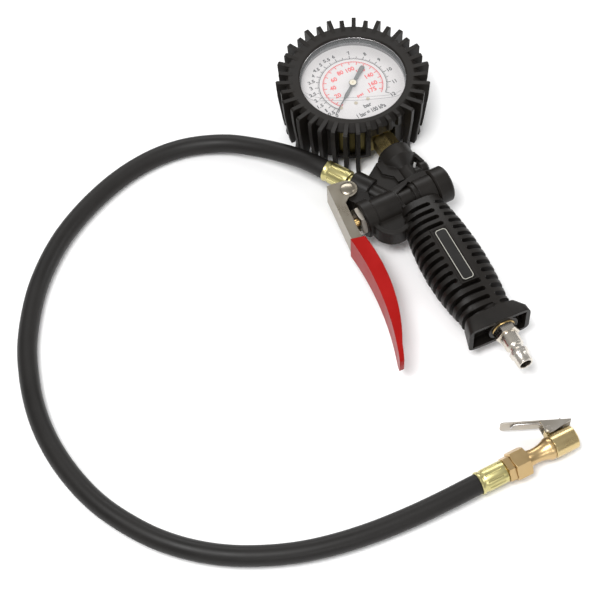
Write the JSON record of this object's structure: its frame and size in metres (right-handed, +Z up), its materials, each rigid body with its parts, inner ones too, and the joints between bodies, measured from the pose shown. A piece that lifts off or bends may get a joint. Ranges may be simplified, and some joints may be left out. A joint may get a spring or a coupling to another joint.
{
  "type": "tyre inflator with gauge",
  "caption": "Pistol-grip tyre inflator with a dial pressure gauge in a ribbed boot, a squeeze lever, a rubber hose and a clip-on chuck with a thumb lever.",
  "frame": {"origin": "below the middle of the gun and gauge, on the plane that the tool lies on; the hose and chuck are left out of that middle", "axes": "+Z up, out of the dial's face; +Y along the gauge stem towards the gauge; the cross-bore of the valve runs along X, with the trigger at -X and the end cap at +X"},
  "size_m": [0.3369, 0.34, 0.0441],
  "materials": {
    "nylon_black": "moulded, fine grain",
    "label_film": "printed film, blank",
    "rubber_black": "moulded rubber",
    "hose_rubber": "smooth extruded rubber",
    "vinyl_red": "dipped vinyl, satin",
    "nickel_plate": "bright nickel plate",
    "brass_plain": "turned",
    "brass_yellow": "crimped, bright",
    "brass_tan": "turned, satin",
    "brass_dark": "turned, worn",
    "spring_steel": "drawn wire",
    "case_paint": "black paint",
    "chrome_bezel": "polished",
    "dial_white": "matt white paint",
    "pointer_black": "matt black paint",
    "clear_window": "clear"
  },
  "bodies": {
    "gun": {"body_moulding": "nylon_black", "end_cap": "nylon_black", "gland_nut": "nickel_plate", "stem_seal": "rubber_black", "valve_spring": "spring_steel", "lever_pin": "nickel_plate", "label_plate": "label_film", "inlet_insert": "brass_plain", "inlet_plug": "nickel_plate", "gauge_stem": "brass_plain", "gauge_case": "case_paint", "movement_frame": "brass_plain", "movement_screws": "brass_plain", "bourdon_tube": "brass_plain", "tube_link": "brass_plain", "hair_spring": "spring_steel", "dial_plate": "dial_white", "dial_screws": "brass_plain", "spacer_ring": "chrome_bezel", "gauge_window": "clear_window", "window_gasket": "rubber_black", "bezel_ring": "chrome_bezel", "gauge_boot": "rubber_black", "gun_hose_tail": "brass_plain", "gun_ferrule": "brass_yellow", "hose": "hose_rubber", "chuck_ferrule": "brass_yellow", "chuck_hose_tail": "brass_tan", "chuck_body": "brass_tan", "chuck_barrel": "brass_dark", "chuck_seal": "rubber_black", "chuck_core_pin": "brass_plain", "chuck_lever_pin": "nickel_plate", "chuck_lever_spring": "spring_steel"},
    "trigger": {"trigger_lever": "nickel_plate", "lever_sleeve": "vinyl_red"},
    "valve": {"valve_stem": "brass_plain", "piston_seals": "rubber_black"},
    "sector": {"sector_gear": "brass_plain"},
    "needle": {"pointer_shaft": "brass_plain", "pointer": "pointer_black"},
    "chuck_clip": {"chuck_lever": "nickel_plate"}
  },
  "joints": [
    {"name": "trigger_pivot", "type": "hinge", "parent": "gun", "child": "trigger", "pos_m": [-0.03, 0.0195, 0.021], "axis": [0, 0, 1], "range_deg": [0, 7], "stiffness_Nm_per_rad": 1.5},
    {"name": "valve_slide", "type": "slide", "parent": "gun", "child": "valve", "axis": [1, 0, 0], "range_m": [0, 0.0028], "deforming": ["valve_spring"]},
    {"name": "sector_pivot", "type": "hinge", "parent": "gun", "child": "sector", "pos_m": [0.012, 0.0691, 0.021], "axis": [0, 0, 1], "range_deg": [0, 30]},
    {"name": "needle_pivot", "type": "hinge", "parent": "gun", "child": "needle", "pos_m": [0.012, 0.0895, 0.035], "axis": [0, 0, 1], "range_deg": [-270, 0], "deforming": ["hair_spring"]},
    {"name": "chuck_lever_pivot", "type": "hinge", "parent": "gun", "child": "chuck_clip", "pos_m": [-0.0035, -0.1811, 0.008], "axis": [0, 0, 1], "range_deg": [0, 22], "stiffness_Nm_per_rad": 0.15, "deforming": ["chuck_lever_spring"]}
  ],
  "couplings": [
    {"joint": "valve_slide", "follows": "trigger_pivot", "m_per_rad": 0.0222},
    {"joint": "needle_pivot", "follows": "sector_pivot", "ratio": -9}
  ]
}
